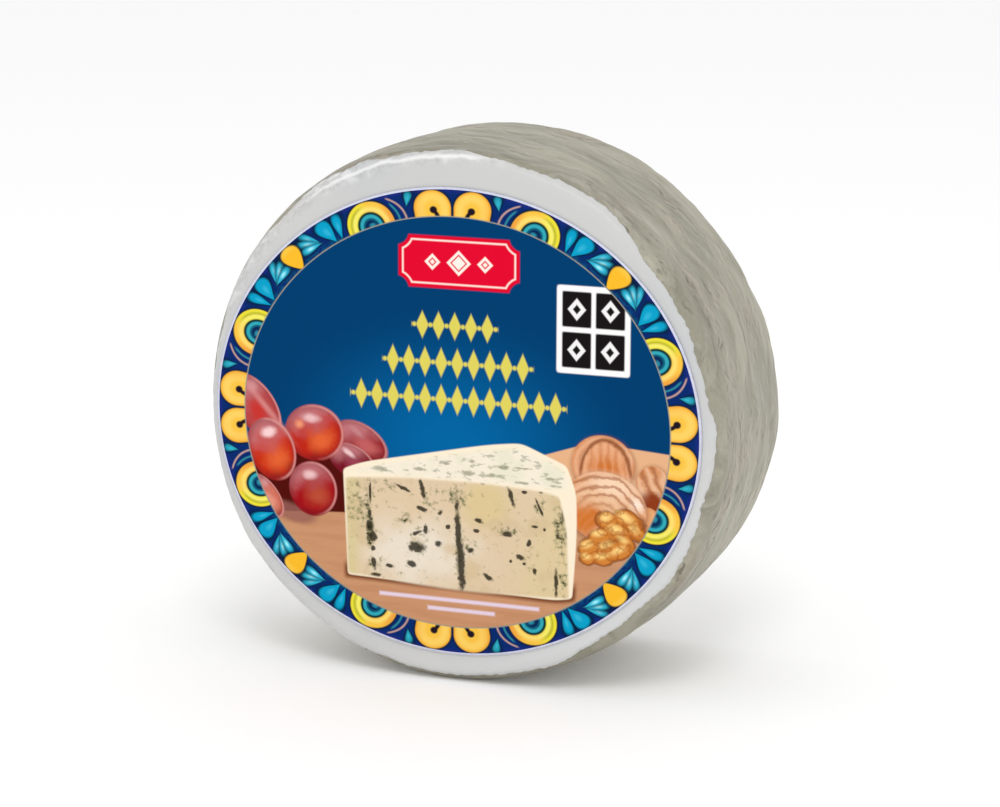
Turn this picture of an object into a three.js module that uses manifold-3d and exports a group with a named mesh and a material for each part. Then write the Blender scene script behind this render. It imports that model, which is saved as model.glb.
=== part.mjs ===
// A whole wheel of blue cheese in its foil, standing on its rim.
// Millimetres, +Z up. The wheel's axis runs along Y and the labelled face looks towards -Y.
// The origin is on the floor, below the middle of the wheel.
//
// Three pieces: the wheel with its creased foil, the smooth pale sheet that covers the front face
// and turns over its shoulder, and the printed label in the middle of that sheet.

import * as THREE from 'three';
import { ParametricGeometry } from 'three/addons/geometries/ParametricGeometry.js';
import { mergeVertices } from 'three/addons/utils/BufferGeometryUtils.js';
import Module from 'manifold-3d';

const wasm = await Module();
wasm.setup();

const { degToRad, euclideanModulo, lerp, smoothstep } = THREE.MathUtils;

// Wheel
const WHEEL_DIAMETER = 200;
const WHEEL_THICKNESS = 82; // with the sheet and the label
const FRONT_SHOULDER = 7; // radius of the rounded edge at the labelled face
const BACK_SHOULDER = 9;
const RIM_BELLY = 0.7; // how much the rim swells between its shoulders
const FLAT_SPOT_WIDTH = 32; // where the wheel has settled on its rim

// Covering
const GAP = 0.3; // between neighbouring pieces
const SHEET_THICKNESS = 0.6;
const SHEET_TURN = 48; // degrees that the sheet turns over the shoulder
const SHEET_TURN_SHORT = 18; // on the right, where it ends sooner
const SHORT_MIDDLE = -10; // degrees round the wheel to the middle of that stretch
const SHORT_HALF_ANGLE = 54; // degrees to either side of its middle
const SHORT_FADE = 6; // degrees over which each end of it fades
const SHEET_TURN_AT_FLOOR = 34; // keeps it clear of what the wheel stands on
const SHEET_EDGE_RAGGED = 8; // degrees that its uneven edge wanders
const LABEL_WIDTH = 186;
const LABEL_HEIGHT = 172.4;
const LABEL_THICKNESS = 0.4;
const LABEL_SHIFT = -0.9; // sideways from the wheel's axis
const LABEL_DROP = 1.1; // below the wheel's axis

// Relief of the foil
const CREASE_DEPTH = 0.9;
const DENT_DEPTH = 0.5;
const CREST_HEIGHT = 1; // of the foil over the wheel's own surface, between its creases
const CREASE_FADE = 0.12; // share of the rim over which the creases rise behind the shoulder
const PLEAT_COUNT = 22; // folds gathered towards the middle of the back
const PLEAT_DEPTH = 1.3;
const PLEAT_LEAN = 1; // radians that a pleat turns on its way from the rim to the middle
const BUTTON_RADIUS = 17; // pressed flat where the pleats meet
const SMOOTH_HALF_ANGLE = 12; // degrees either side of the floor without creases
const CREASED_HALF_ANGLE = 24; // degrees either side of the floor where they are full

// Fineness of the faceted surfaces
const AROUND = 120;
const SHOULDER_STEPS = 4;
const SHEET_STEPS = 3;
const RIM_STEPS = 18;
const BACK_RINGS = 5;

const RADIUS = WHEEL_DIAMETER / 2;
const LABEL_FACE_Y = -WHEEL_THICKNESS / 2;
const FRONT_Y = LABEL_FACE_Y + LABEL_THICKNESS + SHEET_THICKNESS + 2 * GAP;
const BACK_Y = WHEEL_THICKNESS / 2;
const FRONT_FLAT_RADIUS = RADIUS - RIM_BELLY - FRONT_SHOULDER;
const BACK_FLAT_RADIUS = RADIUS - RIM_BELLY - BACK_SHOULDER;
const QUARTER_TURN = Math.PI / 2;
const FULL_TURN = 2 * Math.PI;
const FLOOR_ANGLE = -QUARTER_TURN;

// How far an angle is from another, in radians and never below 0.
function apart(angle, other) {
  return Math.abs(euclideanModulo(angle - other + Math.PI, FULL_TURN) - Math.PI);
}

// Share by which the wheel's outline departs from a circle, at an angle seen from the front:
// a soft oval with three faint corners and a few lumps.
function outOfRound(angle) {
  const oval = 0.0055 * Math.cos(2 * angle + degToRad(37));
  const corners = 0.0089 * Math.cos(3 * angle + degToRad(27));
  const lumps = 0.0026 * Math.cos(5 * angle + degToRad(91)) + 0.0023 * Math.cos(7 * angle - degToRad(48));
  return oval + corners + lumps;
}

// 1 everywhere but near the floor, where the foil is pressed smooth.
function awayFromFloor(angle) {
  return smoothstep(apart(angle, FLOOR_ANGLE), degToRad(SMOOTH_HALF_ANGLE), degToRad(CREASED_HALF_ANGLE));
}

// A row of sharp ridges between rounded hollows, from 0 to 1.
function ridges(phase) {
  return 1 - Math.abs(Math.sin(phase));
}

// Relief of the foil on the rim: creases that run round the wheel on a slight slant, and shallow
// dents.
function rimRelief(angle, y) {
  const wander = 0.9 * Math.sin(3 * angle + 1.1) + 0.6 * Math.sin(7 * angle + 0.4);
  const coarse = ridges(y / 7.5 + 3 * angle + wander);
  const fine = ridges(y / 4.6 - 5 * angle + 1.7 * wander);
  const dents = 0.5 + 0.5 * Math.sin(5 * angle + y / 19) * Math.sin(9 * angle - y / 13 + 2);
  return CREST_HEIGHT - CREASE_DEPTH * (0.6 * coarse + 0.4 * fine) - DENT_DEPTH * dents;
}

// Relief of the foil on the back: pleats that lean as they near the pressed middle.
function backRelief(angle, radius) {
  const lean = PLEAT_LEAN * (1 - radius / RADIUS);
  const phase = (PLEAT_COUNT / 2) * (angle + lean) + 0.8 * Math.sin(3 * angle);
  const gathered = smoothstep(radius, BUTTON_RADIUS, 2.5 * BUTTON_RADIUS);
  return -PLEAT_DEPTH * (0.35 + 0.65 * ridges(phase) * gathered);
}

// A point of the wheel's section: its radius and y, its outward normal and the relief it carries.
function station(radius, y, normalRadius, normalY, relief) {
  return { radius, y, normalRadius, normalY, relief };
}

// The wheel's section, from the middle of the front face over the rim to the middle of the back.
function wheelStations() {
  const smooth = () => 0;
  const list = [station(0, FRONT_Y, 0, -1, smooth)];
  for (let i = 0; i <= SHOULDER_STEPS; i++) {
    const turn = (QUARTER_TURN * i) / SHOULDER_STEPS;
    const radius = FRONT_FLAT_RADIUS + FRONT_SHOULDER * Math.sin(turn);
    const y = FRONT_Y + FRONT_SHOULDER * (1 - Math.cos(turn));
    list.push(station(radius, y, Math.sin(turn), -Math.cos(turn), smooth));
  }
  const rimStart = FRONT_Y + FRONT_SHOULDER;
  const rimLength = BACK_Y - BACK_SHOULDER - rimStart;
  for (let i = 1; i < RIM_STEPS; i++) {
    const along = i / RIM_STEPS;
    const y = rimStart + rimLength * along;
    const radius = RADIUS - RIM_BELLY * (2 * along - 1) ** 2;
    const risen = smoothstep(along, 0, CREASE_FADE);
    list.push(station(radius, y, 1, 0, (angle) => risen * awayFromFloor(angle) * rimRelief(angle, y)));
  }
  for (let i = 0; i <= SHOULDER_STEPS; i++) {
    const share = i / SHOULDER_STEPS;
    const turn = QUARTER_TURN * share;
    const radius = BACK_FLAT_RADIUS + BACK_SHOULDER * Math.cos(turn);
    const y = BACK_Y - BACK_SHOULDER * (1 - Math.sin(turn));
    const relief = (angle) =>
      awayFromFloor(angle) * lerp(rimRelief(angle, y), backRelief(angle, radius), share);
    list.push(station(radius, y, Math.cos(turn), Math.sin(turn), relief));
  }
  for (let i = BACK_RINGS; i >= 0; i--) {
    const radius = (BACK_FLAT_RADIUS * i) / (BACK_RINGS + 1);
    list.push(station(radius, BACK_Y, 0, 1, (angle) => backRelief(angle, radius)));
  }
  return list;
}

function placeOnWheel(place, angle, target) {
  const depth = place.relief(angle);
  const radius = place.radius * (1 + outOfRound(angle)) + depth * place.normalRadius;
  const y = place.y + depth * place.normalY;
  return target.set(radius * Math.cos(angle), y, radius * Math.sin(angle));
}

// How far the sheet turns over the shoulder at an angle, with its short stretch and uneven edge.
function sheetTurn(angle) {
  const fromMiddle = apart(angle, degToRad(SHORT_MIDDLE));
  const shortEnd = degToRad(SHORT_HALF_ANGLE);
  const fade = degToRad(SHORT_FADE);
  const reach = lerp(SHEET_TURN_SHORT, SHEET_TURN, smoothstep(fromMiddle, shortEnd - fade, shortEnd + fade));
  const coarse = Math.cos(12 * angle);
  const fine = Math.sin(29 * angle + 2 * Math.sin(4 * angle));
  const free = reach + SHEET_EDGE_RAGGED * (0.7 * coarse + 0.3 * fine);
  return degToRad(lerp(SHEET_TURN_AT_FLOOR, free, awayFromFloor(angle)));
}

// One side of the sheet, at a distance outside the wheel: its middle, then the shoulder in steps
// out to the edge. A share tells how much of the sheet's turn a station has made.
function sheetStations(offset) {
  const list = [{ reach: 0, share: 0, offset }];
  for (let i = 0; i <= SHEET_STEPS; i++) {
    list.push({ reach: 1, share: i / SHEET_STEPS, offset });
  }
  return list;
}

function placeOnSheet(place, angle, target) {
  const turn = place.share * sheetTurn(angle);
  const onWheel = place.reach * (FRONT_FLAT_RADIUS + FRONT_SHOULDER * Math.sin(turn));
  const radius = onWheel * (1 + outOfRound(angle)) + place.offset * Math.sin(turn);
  const y = FRONT_Y + FRONT_SHOULDER * (1 - Math.cos(turn)) - place.offset * Math.cos(turn);
  return target.set(radius * Math.cos(angle), y, radius * Math.sin(angle));
}

// A closed surface of stations carried once round the wheel's axis, where it starts and ends.
function carriedRound(stations, placeAt) {
  const last = stations.length - 1;
  const surface = (u, v, target) => {
    const i = Math.round(u * last);
    const onAxis = i === 0 || i === last;
    placeAt(stations[i], onAxis ? 0 : FULL_TURN * (v % 1), target);
  };
  return closedGeometry(new ParametricGeometry(surface, last, AROUND));
}

// The same surface with its shared corners merged and the empty triangles at its poles dropped.
function closedGeometry(geometry) {
  geometry.deleteAttribute('normal');
  geometry.deleteAttribute('uv');
  const merged = mergeVertices(geometry);
  const corners = Array.from(merged.index.array);
  const kept = [];
  for (let i = 0; i < corners.length; i += 3) {
    const [a, b, c] = corners.slice(i, i + 3);
    if (a !== b && b !== c && c !== a) {
      kept.push(a, b, c);
    }
  }
  merged.setIndex(kept);
  return merged;
}

function toManifold(geometry) {
  return new wasm.Manifold(
    new wasm.Mesh({
      numProp: 3,
      vertProperties: Float32Array.from(geometry.attributes.position.array),
      triVerts: Uint32Array.from(geometry.index.array),
    }),
  );
}

function fromManifold(solid) {
  const mesh = solid.getMesh();
  const geometry = new THREE.BufferGeometry();
  geometry.setAttribute('position', new THREE.BufferAttribute(mesh.vertProperties, 3));
  geometry.setIndex(new THREE.BufferAttribute(mesh.triVerts, 1));
  geometry.computeVertexNormals();
  return geometry;
}

// Height of the wheel's axis above the floor, for a flat of the stated width.
function axisHeight() {
  const lowest = RADIUS * (1 + outOfRound(FLOOR_ANGLE));
  return Math.sqrt(lowest ** 2 - (FLAT_SPOT_WIDTH / 2) ** 2);
}

// The wheel, with what would lie below the floor taken off as the flat that it rests on.
function wheelGeometry() {
  const round = toManifold(carriedRound(wheelStations(), placeOnWheel));
  const floor = new THREE.BoxGeometry(2 * WHEEL_DIAMETER, 2 * WHEEL_DIAMETER, RADIUS);
  floor.translate(0, 0, -axisHeight() - RADIUS / 2);
  return fromManifold(round.subtract(toManifold(closedGeometry(floor))));
}

function sheetGeometry() {
  const outer = sheetStations(GAP + SHEET_THICKNESS);
  const inner = sheetStations(GAP).reverse();
  const geometry = carriedRound([...outer, ...inner], placeOnSheet);
  geometry.computeVertexNormals();
  return geometry;
}

function labelGeometry() {
  const outline = new THREE.Shape();
  outline.absellipse(LABEL_SHIFT, -LABEL_DROP, LABEL_WIDTH / 2, LABEL_HEIGHT / 2, 0, FULL_TURN);
  const geometry = new THREE.ExtrudeGeometry(outline, {
    depth: LABEL_THICKNESS,
    bevelEnabled: false,
    curveSegments: AROUND / 2,
  });
  geometry.rotateX(QUARTER_TURN);
  geometry.translate(0, LABEL_FACE_Y + LABEL_THICKNESS, 0);
  return geometry;
}

function piece(name, geometry, colour, roughness, metalness) {
  const material = new THREE.MeshStandardMaterial({ color: colour, roughness, metalness });
  const mesh = new THREE.Mesh(geometry, material);
  mesh.name = name;
  return mesh;
}

const wheel = piece('wheel', wheelGeometry(), 0xa4a196, 0.5, 0.35);
const faceSheet = piece('face_sheet', sheetGeometry(), 0xd2d2d2, 0.45, 0);
const label = piece('label', labelGeometry(), 0x063f6e, 0.35, 0);

const cheese = new THREE.Group();
cheese.add(wheel, faceSheet, label);

// The wheel's two sides lie equally far from the origin.
wheel.geometry.computeBoundingBox();
const { min, max } = wheel.geometry.boundingBox;
cheese.position.set(-(min.x + max.x) / 2, 0, axisHeight());

export default cheese;
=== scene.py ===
"""A foil-wrapped wheel of blue cheese: its foil, the pale sheet over its face and the printed label."""

import itertools
import math

import bpy
import numpy as np
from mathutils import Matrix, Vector


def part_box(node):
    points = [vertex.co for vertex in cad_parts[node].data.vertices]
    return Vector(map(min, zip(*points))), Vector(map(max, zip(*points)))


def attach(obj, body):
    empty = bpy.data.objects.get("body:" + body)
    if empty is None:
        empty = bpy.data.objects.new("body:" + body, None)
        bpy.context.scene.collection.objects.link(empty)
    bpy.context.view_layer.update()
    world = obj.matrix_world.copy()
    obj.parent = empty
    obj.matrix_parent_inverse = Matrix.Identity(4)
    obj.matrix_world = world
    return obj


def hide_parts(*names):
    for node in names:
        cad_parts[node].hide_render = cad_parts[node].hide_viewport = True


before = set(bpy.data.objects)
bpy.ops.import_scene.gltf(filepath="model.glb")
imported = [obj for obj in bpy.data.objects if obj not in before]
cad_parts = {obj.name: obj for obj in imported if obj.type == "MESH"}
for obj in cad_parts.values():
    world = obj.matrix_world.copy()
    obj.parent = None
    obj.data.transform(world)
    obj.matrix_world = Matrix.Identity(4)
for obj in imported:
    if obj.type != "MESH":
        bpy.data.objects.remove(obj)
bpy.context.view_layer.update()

bl_info = {
    "name": "Foil-wrapped cheese wheel",
    "version": (1, 0, 0),
    "blender": (4, 5, 0),
    "location": "3D View > Sidebar > Cheese",
    "description": "Builds the foil, the pale sheet and the printed label of a cheese wheel",
    "category": "Object",
}

# Lengths below are in millimetres, with the wheel's axis at x = 0, z = 0, unless a name says otherwise.
MM = 0.001
FULL_TURN = 2 * math.pi
FLOOR_ANGLE = -math.pi / 2

# The wheel, as it was built
RADIUS = 100
FRONT_SHOULDER = 7
BACK_SHOULDER = 9
RIM_BELLY = 0.7
GAP = 0.3
SHEET_THICKNESS = 0.6
CREST_HEIGHT = 1
SHEET_TURN = 48
SHEET_TURN_SHORT = 18
SHORT_MIDDLE = -10
SHORT_HALF_ANGLE = 54
SHORT_FADE = 6
SHEET_TURN_AT_FLOOR = 34
SHEET_EDGE_RAGGED = 8
SMOOTH_HALF_ANGLE = 12
CREASED_HALF_ANGLE = 24
LABEL_SHIFT = -0.9
LABEL_DROP = 1.1
PLEAT_COUNT = 22
PLEAT_LEAN = 1
BUTTON_RADIUS = 17

LABEL_LOW, LABEL_HIGH = (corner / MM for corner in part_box("label"))
LABEL_HALF_WIDTH = (LABEL_HIGH.x - LABEL_LOW.x) / 2
LABEL_HALF_HEIGHT = (LABEL_HIGH.z - LABEL_LOW.z) / 2
LABEL_FACE_Y = LABEL_LOW.y
LABEL_BACK_Y = LABEL_HIGH.y
AXIS_X = (LABEL_LOW.x + LABEL_HIGH.x) / 2 - LABEL_SHIFT
AXIS_Z = (LABEL_LOW.z + LABEL_HIGH.z) / 2 + LABEL_DROP
FRONT_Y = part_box("wheel")[0].y / MM
BACK_Y = -LABEL_FACE_Y
FRONT_FLAT_RADIUS = RADIUS - RIM_BELLY - FRONT_SHOULDER
BACK_FLAT_RADIUS = RADIUS - RIM_BELLY - BACK_SHOULDER

# The label's print: shares of its half-width and half-height
RING_START = 0.876
PRINT_END = 0.9905

# The edge of the sheet: its teeth and where its pinched ridge lies, in degrees, and the ridge's radius
BROAD_TEETH = 8
FINE_TEETH = 7
RIDGE_MIDDLE = 112
RIDGE_FULL_HALF_ANGLE = 14
RIDGE_HALF_ANGLE = 30
RIDGE_RADIUS = 97.6

WHITE = (1, 1, 1, 1)


def linear(red, green, blue):
    """A colour given in steps of 0 to 255, as the linear values that shaders use."""
    share = np.array([red, green, blue]) / 255
    return tuple(np.where(share <= 0.04045, share / 12.92, ((share + 0.055) / 1.055) ** 2.4))


def colour_property(name, description, *steps):
    return bpy.props.FloatVectorProperty(
        name=name, description=description, subtype="COLOR", size=3, min=0, max=1, default=linear(*steps)
    )


def length_property(name, description, default):
    return bpy.props.FloatProperty(
        name=name, description=description, default=default * MM, min=0, subtype="DISTANCE", unit="LENGTH"
    )


def share_property(name, description, default):
    return bpy.props.FloatProperty(name=name, description=description, default=default, min=0, max=1)


def angle_property(name, description, degrees):
    return bpy.props.FloatProperty(
        name=name, description=description, default=math.radians(degrees), subtype="ANGLE"
    )


class FoilSettings(bpy.types.PropertyGroup):
    crease_depth: length_property("Crease depth", "Depth of the broad creases round the rim", 0.9)
    dent_depth: length_property("Dent depth", "Depth of the shallow dents in the rim", 0.5)
    fold_depth: length_property("Fold depth", "Depth of the sharp folds between flat patches", 0.6)
    crinkle_depth: length_property("Crinkle depth", "Depth of the fine crinkles all over", 0.45)
    pleat_depth: length_property("Pleat depth", "Depth of the pleats gathered on the back", 1.3)
    colour: colour_property("Foil", "Colour of the foil", 165, 161, 144)
    # shade and shine are darker and lighter tones of the foil: painted shade and painted highlights on its
    # facets and creases, and also random patches and a darker band beside the sheet
    shade: colour_property("Shade", "Colour of the foil in its creases", 104, 101, 88)
    shine: colour_property("Shine", "Colour of the foil on its ridges", 200, 197, 182)
    metal: share_property("Metal", "How metallic the foil is", 0.35)


class SheetSettings(bpy.types.PropertyGroup):
    colour: colour_property("Sheet", "Colour of the pale sheet", 200, 200, 198)
    # shade and shine: painted shade in the sheet's crumples, and painted highlights on its crumples and ridge
    shade: colour_property("Shade", "Colour of the sheet where it is crumpled", 160, 159, 156)
    shine: colour_property("Shine", "Colour of the sheet on its ridges", 240, 240, 239)
    ripple_depth: length_property("Ripple depth", "Depth of the ripples near the shoulder", 0.3)
    ridge_height: length_property("Ridge height", "Height of the pinched ridge at the upper left", 0.45)
    roughness: share_property("Roughness", "Roughness of the sheet", 0.4)


class LabelSettings(bpy.types.PropertyGroup):
    paper: colour_property("Paper", "Colour of the bare paper at the label's edge", 210, 212, 230)
    navy: colour_property("Navy", "Ground of the ring", 8, 42, 106)
    deep_blue: colour_property("Deep blue", "Ground of the picture at its edge", 0, 60, 108)
    bright_blue: colour_property("Bright blue", "Ground of the picture at its middle", 0, 98, 158)
    gold: colour_property("Gold", "Warm yellow of the ring", 244, 192, 70)
    lemon: colour_property("Lemon", "Bright yellow of the ring", 232, 222, 58)
    turquoise: colour_property("Turquoise", "Petals of the ring", 10, 156, 196)
    red: colour_property("Red", "The plaque", 222, 8, 46)
    board: colour_property("Board", "The wooden board", 198, 145, 107)
    cheese: colour_property("Cheese", "The cut face of the cheese", 219, 196, 164)
    grape: colour_property("Grape", "The grapes in the light", 222, 96, 50)
    shell: colour_property("Nut shell", "The walnut shells", 226, 176, 136)
    gloss: share_property("Gloss", "How much the print shines", 0.02)


class StageSettings(bpy.types.PropertyGroup):
    azimuth: angle_property("Azimuth", "Camera's turn round the wheel", 20.46)
    elevation: angle_property("Elevation", "Camera's height above the wheel", 13.06)
    distance: length_property("Distance", "From the camera to the middle of the face", 1091)
    floor: colour_property("Floor", "Colour of the floor", 252, 252, 252)


class Value:
    """A number that varies over a surface. Arithmetic on it adds Math nodes to its finish."""

    def __init__(self, finish, socket):
        self.finish = finish
        self.socket = socket

    def math(self, operation, *others):
        return self.finish.math(operation, self, *others)

    def __add__(self, other):
        return self.math("ADD", other)

    def __sub__(self, other):
        return self.math("SUBTRACT", other)

    def __rsub__(self, other):
        return self.finish.math("SUBTRACT", other, self)

    def __mul__(self, other):
        return self.math("MULTIPLY", other)

    def __truediv__(self, other):
        return self.math("DIVIDE", other)

    def __abs__(self):
        return self.math("ABSOLUTE")

    __radd__ = __add__
    __rmul__ = __mul__


class Finish:
    """The nodes of one material."""

    def __init__(self, name, **surface):
        self.material = bpy.data.materials.new(name)
        self.material.use_nodes = True
        self.tree = self.material.node_tree
        self.surface = self.tree.nodes["Principled BSDF"]
        for socket, value in surface.items():
            self.surface.inputs[socket.replace("_", " ")].default_value = value

    def feed(self, socket, value):
        if isinstance(value, Value):
            value = value.socket
        if isinstance(value, bpy.types.NodeSocket):
            self.tree.links.new(value, socket)
        elif socket.type == "RGBA":
            socket.default_value = (*value, 1)
        else:
            socket.default_value = value

    def node(self, kind, inputs, **settings):
        """A node of a kind: its settings are made first, then its sockets get their values or links."""
        made = self.tree.nodes.new("ShaderNode" + kind)
        for name, value in settings.items():
            setattr(made, name, value)
        for key, value in inputs.items() if isinstance(inputs, dict) else enumerate(inputs):
            self.feed(made.inputs[key], value)
        return made

    def math(self, operation, *values):
        return Value(self, self.node("Math", values, operation=operation).outputs[0])

    def along(self, vector, direction):
        """How far a vector goes in a direction: their dot product."""
        made = self.node("VectorMath", [vector, direction], operation="DOT_PRODUCT")
        return Value(self, made.outputs["Value"])

    def place(self):
        """Object coordinates in millimetres, measured from the wheel's axis."""
        there = self.node("TexCoord", ()).outputs["Object"]
        moved = {"Vector": there, "Location": (-AXIS_X, 0, -AXIS_Z), "Scale": (1 / MM,) * 3}
        return self.node("Mapping", moved, vector_type="POINT").outputs[0]

    def front(self):
        """Millimetres across and up from the wheel's axis, in the plane of the label's face."""
        there = self.node("TexCoord", ()).outputs["Object"]
        turned = {
            "Vector": there,
            "Location": (-AXIS_X, -AXIS_Z, LABEL_FACE_Y),
            "Rotation": (-math.pi / 2, 0, 0),
            "Scale": (1 / MM,) * 3,
        }
        return self.node("Mapping", turned, vector_type="POINT").outputs[0]

    def parts(self, vector):
        """The x, y and z of a vector, as three values."""
        return [Value(self, socket) for socket in self.node("SeparateXYZ", [vector]).outputs]

    def joined(self, x, y, z):
        return self.node("CombineXYZ", [x, y, z]).outputs[0]

    def noise(self, vector, scale=(1, 1, 1), detail=2, roughness=0.5):
        """Cloudy noise around 0.5, on a vector whose axes are scaled first."""
        scaled = self.node("Mapping", {"Vector": vector, "Scale": scale}, vector_type="POINT").outputs[0]
        inputs = {"Vector": scaled, "Scale": 1, "Detail": detail, "Roughness": roughness}
        return Value(self, self.node("TexNoise", inputs).outputs[0])

    def ramp(self, value, low, high):
        """0 where a value is low, 1 where it is high, and a smooth step between them."""
        inputs = {"Value": value, "From Min": low, "From Max": high}
        made = self.node("MapRange", inputs, interpolation_type="SMOOTHSTEP", clamp=False)
        return Value(self, made.outputs[0])

    def mix(self, under, over, share):
        """One colour laid over another by a share from 0 to 1."""
        inputs = {0: share, 6: under, 7: over}
        return self.node("Mix", inputs, data_type="RGBA").outputs[2]

    def colour(self, colour):
        self.feed(self.surface.inputs["Base Color"], colour)

    def roughness(self, value):
        self.feed(self.surface.inputs["Roughness"], value)

    def bump(self, height, distance, strength=1):
        """Tilts the surface as if a height from 0 to 1 stood a distance in millimetres proud."""
        inputs = {"Height": height, "Distance": distance * MM, "Strength": strength}
        self.feed(self.surface.inputs["Normal"], self.node("Bump", inputs).outputs[0])


class Drawing:
    """Flat shapes painted on a finish, one over the other, in millimetres on a plane."""

    SOFT = 0.35

    def __init__(self, finish, spot, ground):
        self.finish = finish
        self.spot = spot
        self.across = finish.along(spot, (1, 0, 0))
        self.up = finish.along(spot, (0, 1, 0))
        self.colour = ground

    def oval(self, x, y, half_width, half_height, turn=0):
        """How far a point lies out in an oval: 0 in the middle and 1 at its edge.

        A turned oval is first mirrored in the line at half its turn, which lays it level.
        """
        spot = self.spot
        if turn:
            half_turn = math.radians(turn) / 2
            mirror = (-math.sin(half_turn), math.cos(half_turn), 0)
            spot = self.finish.node("VectorMath", [spot, mirror], operation="REFLECT").outputs[0]
            cos, sin = math.cos(2 * half_turn), math.sin(2 * half_turn)
            x, y = x * cos + y * sin, x * sin - y * cos
        scaling = [spot, (1 / half_width, 1 / half_height, 0), (-x / half_width, -y / half_height, 0)]
        local = self.finish.node("VectorMath", scaling, operation="MULTIPLY_ADD").outputs[0]
        made = self.finish.node("VectorMath", [local], operation="LENGTH")
        return Value(self.finish, made.outputs["Value"])

    def nearest(self, ovals):
        """How far a point lies out in whichever of several ovals is nearest."""
        nearest = 9
        for oval in ovals:
            nearest = self.oval(*oval).math("MINIMUM", nearest)
        return nearest

    def inside(self, out, size, soft=SOFT):
        """1 where a distance is under 1, with an edge as soft as stated for a shape of that size."""
        return self.finish.ramp(out, 1 + soft / size, 1 - soft / size)

    def paint(self, colour, mask):
        self.colour = self.finish.mix(self.colour, colour, mask)

    def blob(self, colour, x, y, half_width, half_height, turn=0, soft=SOFT, strength=1):
        """A painted oval with an edge of a stated softness."""
        mask = self.inside(self.oval(x, y, half_width, half_height, turn), min(half_width, half_height), soft)
        self.paint(colour, mask * strength if strength != 1 else mask)

    def glow(self, colour, x, y, half_width, half_height, turn=0, strength=1.0):
        """A painted oval that fades from its middle to its edge."""
        out = self.oval(x, y, half_width, half_height, turn)
        self.paint(colour, self.finish.ramp(out, 1, 0) * strength)

    def arch(self, x, base, half_width, height):
        """How far a point lies out in an arch with upright legs that stand below its base line."""
        rise = (self.up - base).math("MAXIMUM", 0) / height
        run = (self.across - x) / half_width
        return (run * run + rise * rise).math("SQRT")

    def petal(self, tip, end, half_width, taper=0.75):
        """How far a point lies out in a petal, which widens from its tip to its round end."""
        half_length = math.dist(tip, end) / 2
        run, rise = ((there - here) / (2 * half_length) for here, there in zip(tip, end))
        x, y = ((here + there) / 2 for here, there in zip(tip, end))
        along = self.finish.along(self.spot, (run / half_length, rise / half_length, 0))
        along = along - (run * x + rise * y) / half_length
        aside = self.finish.along(self.spot, (-rise / half_width, run / half_width, 0))
        aside = (aside - (run * y - rise * x) / half_width) / (along * taper + 1)
        return (along * along + aside * aside).math("SQRT")

    def polygon(self, corners):
        """Distance inside a convex outline, in millimetres. Its corners go clockwise."""
        nearest = None
        for (x0, y0), (x1, y1) in zip(corners, corners[1:] + corners[:1]):
            length = math.hypot(x1 - x0, y1 - y0)
            normal = ((y1 - y0) / length, (x0 - x1) / length, 0)
            depth = self.finish.along(self.spot, normal) - (normal[0] * x0 + normal[1] * y0)
            nearest = depth if nearest is None else nearest.math("SMOOTH_MIN", depth, 2)
        return nearest

    def filled(self, depth, soft=SOFT):
        """1 where a depth in millimetres is above 0."""
        return self.finish.ramp(depth, -soft, soft)


def smoothstep(value, low, high):
    """0 below low and 1 above high, with level ends between."""
    share = np.clip((value - low) / (high - low), 0, 1)
    return share * share * (3 - 2 * share)


def blend(low, high, share):
    return low + (high - low) * share


def out_of_round(angle):
    """Share by which the outline departs from a circle: an oval, three faint corners and lumps."""
    oval = 0.0055 * np.cos(2 * angle + math.radians(37))
    corners = 0.0089 * np.cos(3 * angle + math.radians(27))
    lumps = 0.0026 * np.cos(5 * angle + math.radians(91)) + 0.0023 * np.cos(7 * angle - math.radians(48))
    return oval + corners + lumps


def apart(angle, other):
    """How far an angle is from another, never below 0."""
    return np.abs(np.mod(angle - other + math.pi, FULL_TURN) - math.pi)


def away_from_floor(angle):
    """1 everywhere but near the floor, where the foil is pressed smooth."""
    fade = math.radians(SMOOTH_HALF_ANGLE), math.radians(CREASED_HALF_ANGLE)
    return smoothstep(apart(angle, FLOOR_ANGLE), *fade)


def ridges(phase):
    """Sharp ridges between rounded hollows: 1 less the size of a sine."""
    return 1 - np.abs(np.sin(phase))


def lattice_noise(points, seed):
    """Smooth noise from 0 to 1: random numbers on a cubic lattice, blended by smoothstep weights."""
    side = 24
    table = np.random.default_rng(seed).random((side, side, side))
    cell = np.floor(points).astype(int)
    share = smoothstep(points - cell, 0, 1)
    total = 0
    for corner in itertools.product((0, 1), repeat=3):
        weight = np.prod(np.where(corner, share, 1 - share), axis=-1)
        index = np.mod(cell + corner, side)
        total = total + weight * table[index[..., 0], index[..., 1], index[..., 2]]
    return total


def creased(points, seed):
    """Thin sharp creases, 0 to 1: noise folded about its middle, in two sizes."""
    broad = 1 - np.abs(2 * lattice_noise(points, seed) - 1)
    fine = 1 - np.abs(2 * lattice_noise(points * 2.1, seed + 1) - 1)
    return 0.65 * broad**2 + 0.35 * fine**2


def rim_relief(angle, y, foil):
    """Broad slanting creases and shallow dents of the rim, measured from its own surface."""
    wander = 0.9 * np.sin(3 * angle + 1.1) + 0.6 * np.sin(7 * angle + 0.4)
    coarse = ridges(y / 7.5 + 3 * angle + wander)
    fine = ridges(y / 4.6 - 5 * angle + 1.7 * wander)
    dents = 0.5 + 0.5 * np.sin(5 * angle + y / 19) * np.sin(9 * angle - y / 13 + 2)
    creases = foil.crease_depth / MM * (0.6 * coarse + 0.4 * fine)
    return CREST_HEIGHT - creases - foil.dent_depth / MM * dents


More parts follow.
